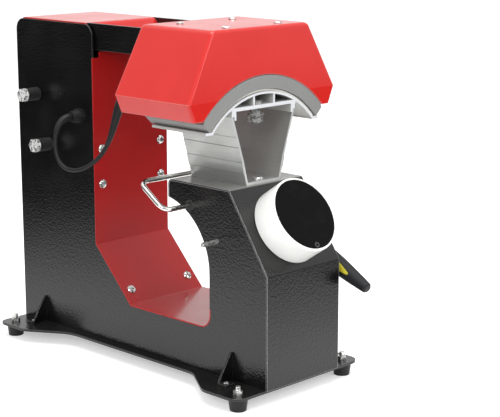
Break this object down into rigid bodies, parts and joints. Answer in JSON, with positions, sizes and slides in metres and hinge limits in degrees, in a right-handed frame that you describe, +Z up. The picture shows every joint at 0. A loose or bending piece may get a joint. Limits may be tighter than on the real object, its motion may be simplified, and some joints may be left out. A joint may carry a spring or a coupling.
{
  "type": "cap heat press",
  "caption": "Cap heat press: C-shaped frame, curved pad on a stand, heated curved platen under a folded red hood on a motor-driven arm, round control unit, tension bail with lever.",
  "frame": {"origin": "on the table, under the middle of the machine's overall box", "axes": "+X to the operator's right, +Y from the operator's side to the back of the column, +Z up"},
  "size_m": [0.2378, 0.4726, 0.4203],
  "materials": {
    "black_coat": "textured black powder coat",
    "red_coat": "glossy red paint",
    "extruded_aluminium": "satin, with drawing lines",
    "platen_aluminium": "milled",
    "zinc_steel": "zinc plated",
    "chrome_screws": "plated",
    "chrome_wire": "polished",
    "rubber": "matt",
    "silicone_pad": "soft, off-white",
    "white_plastic": "glossy",
    "black_glass": "clear coated black",
    "black_plastic": "fine grain",
    "circuit_board": "lacquered",
    "grip_rubber": "soft touch",
    "grip_yellow": "satin",
    "heater": "silicone over heating wire",
    "fibre": "heat-resistant laminate"
  },
  "bodies": {
    "frame": {"base_plate": "black_coat", "rubber_feet": "rubber", "foot_screws": "chrome_screws", "foot_nuts": "chrome_screws", "gussets": "black_coat", "gusset_screws": "chrome_screws", "left_side_plate": "black_coat", "right_side_plate": "black_coat", "nose_cover": "black_coat", "nose_back": "black_coat", "throat_panel": "red_coat", "panel_screws": "chrome_screws", "rear_cover": "black_coat", "rear_screws": "chrome_screws", "pivot_bolts": "chrome_screws", "pivot_spacers": "black_plastic", "pivot_nuts": "chrome_screws", "power_inlet": "black_plastic", "fuse_drawer": "black_plastic", "switch_frame": "black_plastic", "power_supply": "zinc_steel", "drive_board": "circuit_board", "cable_gland": "rubber", "head_cable": "rubber", "stand_channel": "extruded_aluminium", "stand_screws": "chrome_screws", "saddle": "extruded_aluminium", "saddle_bolts": "chrome_screws", "cap_pad": "silicone_pad", "control_housing": "white_plastic", "control_board": "circuit_board", "control_glass": "black_glass", "stop_pin": "chrome_wire", "bail_bushes": "black_plastic"},
    "head": {"arm_frame": "black_coat", "arm_bearing": "zinc_steel", "arm_cover": "red_coat", "rod_pin": "chrome_screws", "head_plate": "zinc_steel", "platen": "platen_aluminium", "heater_blanket": "heater", "heat_spacers": "fibre", "platen_bolts": "chrome_screws", "thermostat": "black_plastic", "hood": "red_coat", "hood_posts": "zinc_steel", "hood_screws": "chrome_screws", "cable_relief": "rubber"},
    "cap_bail": {"cap_bail": "chrome_wire", "bail_tube": "zinc_steel", "lever_arm": "black_coat", "grip": "grip_rubber", "grip_inlay": "grip_yellow"},
    "actuator": {"drive_tube": "zinc_steel", "drive_gearbox": "black_plastic", "drive_motor": "zinc_steel"},
    "actuator_rod": {"drive_rod": "chrome_wire"},
    "rocker": {"power_rocker": "black_plastic"}
  },
  "joints": [
    {"name": "head_lift", "type": "hinge", "parent": "frame", "child": "head", "pos_m": [0, 0.19634, 0.316], "axis": [-1, 0, 0], "range_deg": [0, 30], "deforming": ["head_cable"]},
    {"name": "actuator_tilt", "type": "hinge", "parent": "frame", "child": "actuator", "pos_m": [0, 0.17484, 0.2545], "axis": [-1, 0, 0], "range_deg": [0, 13.06]},
    {"name": "actuator_extend", "type": "slide", "parent": "actuator", "child": "actuator_rod", "axis": [0, -0.488, 0.8729], "range_m": [0, 0.02379]},
    {"name": "bail_swing", "type": "hinge", "parent": "frame", "child": "cap_bail", "pos_m": [0, -0.08166, 0.213], "axis": [-1, 0, 0], "range_deg": [0, 70]},
    {"name": "power_rocker", "type": "hinge", "parent": "frame", "child": "rocker", "pos_m": [0.024, 0.22784, 0.08], "axis": [1, 0, 0], "range_deg": [0, 16]}
  ],
  "couplings": [
    {"joint": "actuator_tilt", "follows": "head_lift", "ratio": 0.42521},
    {"joint": "actuator_extend", "follows": "head_lift", "m_per_rad": 0.044484}
  ]
}
